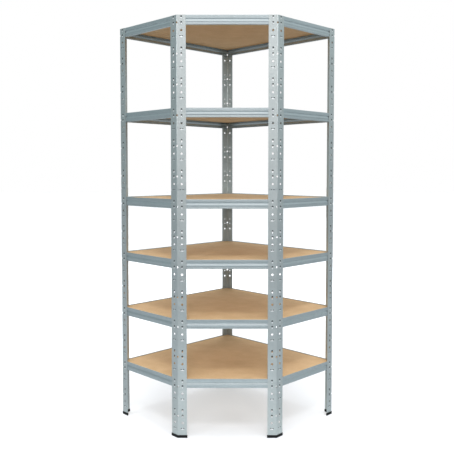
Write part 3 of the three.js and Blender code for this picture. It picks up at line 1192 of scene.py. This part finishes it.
def turned_stud(name, inset):
    """Turn the profile round the Y axis. Y is nought at the outer face of the post."""
    profile = [(radius * MM, -KEY_PLAY - out * MM) for radius, out in HEAD_MM]
    profile += [(SHANK_RADIUS, -KEY_PLAY), (SHANK_RADIUS, inset + BEAM_SHEET)]
    profile += [(radius * MM, inset + BEAM_SHEET + out * MM) for radius, out in TAIL_MM]
    points = []
    for radius, depth in profile[1:-1]:
        ring = circle(radius, STUD_SEGMENTS, 0.0)
        points += [(p.x, depth, p.y) for p in ring]
    head, tail = len(points), len(points) + 1
    points += [(0.0, profile[0][1], 0.0), (0.0, profile[-1][1], 0.0)]
    faces = []
    for step in range(STUD_SEGMENTS):
        beside = (step + 1) % STUD_SEGMENTS
        here = [head, *range(step, head, STUD_SEGMENTS), tail]
        there = [head, *range(beside, head, STUD_SEGMENTS), tail]
        for corners_of_face in zip(here, here[1:], there[1:], there):
            faces.append(tuple(dict.fromkeys(corners_of_face)))  # a triangle at either tip
    mesh = bpy.data.meshes.new(name)
    mesh.from_pydata(points, [], faces)
    mesh.update()
    mesh.materials.append(stud_zinc)
    return holder(name, mesh)


SHALLOW, DEEP = LAYER, 2 * LAYER
studs = {inset: turned_stud("stud", inset) for inset in (SHALLOW, DEEP)}
print("stud", len(studs[SHALLOW].data.polygons), "faces")

# %% [markdown]
# ## Beams
# A beam is one strip of thin sheet, rolled to its section: a ledge for the board, a hemmed lip
# above it, a wall with a groove that stiffens it, and a flange below. The section is drawn as
# a folded outline. The tree sweeps it along the side, leans both ends to the mitre, and sets
# four studs at the corners of a grid.

# %% Section of a beam
BEAM_EASE, BEAM_BEND_STEPS = 0.12 * MM, 5
SECTION_MM = [  # inward, down, and the radius of the bend
    (13.0, 10.4, 0.0),
    (1.2, 10.4, 0.9),
    (1.2, 0.4, 0.39),
    (0.4, 0.4, 0.39),
    (0.4, 14.6, 1.2),
    (3.3, 16.4, 1.2),
    (0.5, 26.0, 3.0),
    (1.2, 31.0, 3.0),
    (0.4, 39.6, 1.2),
    (12.0, 39.6, 0.0),
]


def beam_section():
    """The sweep turns the profile over, so inward is drawn as -X and down as +Y."""
    line = [(-inward * MM, down * MM, bend * MM) for inward, down, bend in SECTION_MM]
    outline = folded_outline(line, BEAM_SHEET, BEAM_EASE, BEAM_BEND_STEPS)
    edges = [(i, (i + 1) % len(outline)) for i in range(len(outline))]
    mesh = bpy.data.meshes.new("beam_section")
    mesh.from_pydata([(p.x, p.y, 0.0) for p in outline], edges, [])
    return holder("beam_section", mesh)


section = beam_section()
print("section", len(section.data.vertices), "points")


# %% Tree: a rolled beam
BEAM_SETBACK = 3 * MM
STUDS_DROP = 13 * MM + KEY_SPACING / 2


def rolled_beam_tree():
    tree, given, result = new_tree(
        "rolled_beam",
        "GeometryNodeTree",
        [
            ("Geometry", "Geometry"),
            ("Section", "Object"),
            ("Stud", "Object"),
            ("Length", "Float", WALL_SIDE),
            ("Inset", "Float", SHALLOW),
            ("Start Lean", "Float", 1.0),
            ("End Lean", "Float", 1.0),
            ("Setback", "Float", BEAM_SETBACK),
            ("Stud Line", "Float", HOLE_LINE),
            ("Stud Drop", "Float", STUDS_DROP),
            ("Stud Spacing", "Float", KEY_SPACING),
            ("Steel", "Material"),
        ],
        [("Geometry", "Geometry")],
    )
    path = add(tree, "GeometryNodeCurvePrimitiveLine", {"End": xyz(tree, given["Length"])})
    outline = add(tree, "GeometryNodeMeshToCurve", {0: shape_of(tree, given["Section"])})
    swept = add(
        tree,
        "GeometryNodeCurveToMesh",
        {"Curve": path.outputs[0], "Profile Curve": outline.outputs[0], "Fill Caps": True},
    )
    place = add(tree, "GeometryNodeInputPosition").outputs[0]
    along, inward, up = add(tree, "ShaderNodeSeparateXYZ", {0: place}).outputs
    deep = plus(tree, inward, given["Inset"])
    near = times(tree, deep, given["Start Lean"])
    near = plus(tree, near, given["Setback"])
    far = times(tree, deep, given["End Lean"])
    far = plus(tree, far, given["Setback"])
    far = calculate(tree, "SUBTRACT", given["Length"], far)
    share = calculate(tree, "DIVIDE", along, given["Length"])
    mitred = spread(tree, share, 0.0, 1.0, near, far)
    bar = {"Geometry": swept.outputs[0], "Position": xyz(tree, mitred, deep, up)}
    bar = add(tree, "GeometryNodeSetPosition", bar)
    bar = {"Geometry": bar.outputs[0], "Material": given["Steel"]}
    bar = add(tree, "GeometryNodeSetMaterial", bar).outputs[0]
    both_lines = times(tree, given["Stud Line"], 2.0)
    grid = {"Vertices X": 2, "Vertices Y": 2, "Size Y": given["Stud Spacing"]}
    grid["Size X"] = calculate(tree, "SUBTRACT", given["Length"], both_lines)
    grid = add(tree, "GeometryNodeMeshGrid", grid).outputs[0]
    middle = times(tree, given["Length"], 0.5)
    middle = xyz(tree, middle, z=times(tree, given["Stud Drop"], -1.0))
    upright = moved(tree, grid, middle, turn=(math.pi / 2, 0, 0))
    riveted = copied(tree, upright, shape_of(tree, given["Stud"]))
    feed(tree, result, {0: made_real(tree, gathered(tree, riveted, bar))})
    return tree


rolled_beam = rolled_beam_tree()
print("tree", rolled_beam.name, len(rolled_beam.nodes), "nodes")

# %% Roll the thirty beams
for shelf, row in enumerate(SHELF_ROWS, start=1):
    inset = DEEP if row == LAP_ROW else SHALLOW
    for index, side in enumerate(sides):
        start_angle, end_angle = corners[index]["inner"], corners[(index + 1) % 5]["inner"]
        values = {
            "Section": section,
            "Stud": studs[inset],
            "Length": side["length"],
            "Inset": inset,
            "Start Lean": 1 / math.tan(start_angle / 2),
            "End Lean": 1 / math.tan(end_angle / 2),
            "Setback": BEAM_SETBACK,
            "Stud Line": HOLE_LINE,
            "Stud Drop": STUDS_DROP,
            "Stud Spacing": KEY_SPACING,
            "Steel": beam_steel,
        }
        beam = grow(f"shelf_{shelf}_{side['name']}_beam_look", rolled_beam, values)
        smooth_bends(beam, WIDE_FACE)
        settle(beam, side["start"], HEIGHT - row * PITCH, side["turn"])
    print(beam.name, len(beam.data.polygons), "faces")

# %% [markdown]
# ## Boards
# Each board is one five-sided sheet of fibreboard, sawn to fit inside the lips and laid on the
# ledges. The saw leaves its edges rough and a little darker, so they have a finish of their
# own, and the sharp corners are eased.

# %% Saw and lay the six boards
BOARD_TOP = 3.2 * MM
BOARD_THICKNESS = 6.5 * MM
HEM = 1.6 * MM
BOARD_PLAY = 1 * MM
BOARD_EASE, EASE_STEPS = 0.5 * MM, 2
FACE, EDGE = 0, 1


def board_corners(inset):
    placed = []
    for index, corner in enumerate(corners):
        ahead, behind = sides[index]["along"], sides[index - 1]["along"]
        halving = (ahead - behind).normalized()
        placed.append(corner["point"] + halving * inset / math.sin(corner["inner"] / 2))
    return placed


for shelf, row in enumerate(SHELF_ROWS, start=1):
    inset = (DEEP if row == LAP_ROW else SHALLOW) + HEM + BOARD_PLAY
    top = HEIGHT - row * PITCH - BOARD_TOP
    outline = board_corners(inset)
    mesh = loft("board", [raised(outline, top - BOARD_THICKNESS), raised(outline, top)])
    sheet = bmesh.new()
    sheet.from_mesh(mesh)
    bmesh.ops.bevel(
        sheet, geom=sheet.edges[:], offset=BOARD_EASE, segments=EASE_STEPS, affect="EDGES"
    )
    for face in sheet.faces:
        face.material_index = FACE if abs(face.normal.z) > 0.5 else EDGE
        face.smooth = False
    sheet.to_mesh(mesh)
    sheet.free()
    mesh.materials.append(board_face)
    mesh.materials.append(board_edge)
    board = holder(f"shelf_{shelf}_board_look", mesh)
    settle(board, Vector((0, 0)), 0.0, 0.0)
print(board.name, len(board.data.polygons), "faces")

# %% [markdown]
# ## Finish
# The tools were only shapes to cut with, so they go.

# %% Clear the tools
tools = [hole_tool, press_tool, dimple_tool, swell_form, crease_tool]
for helper in [*tools, section, *studs.values()]:
    drop(helper)
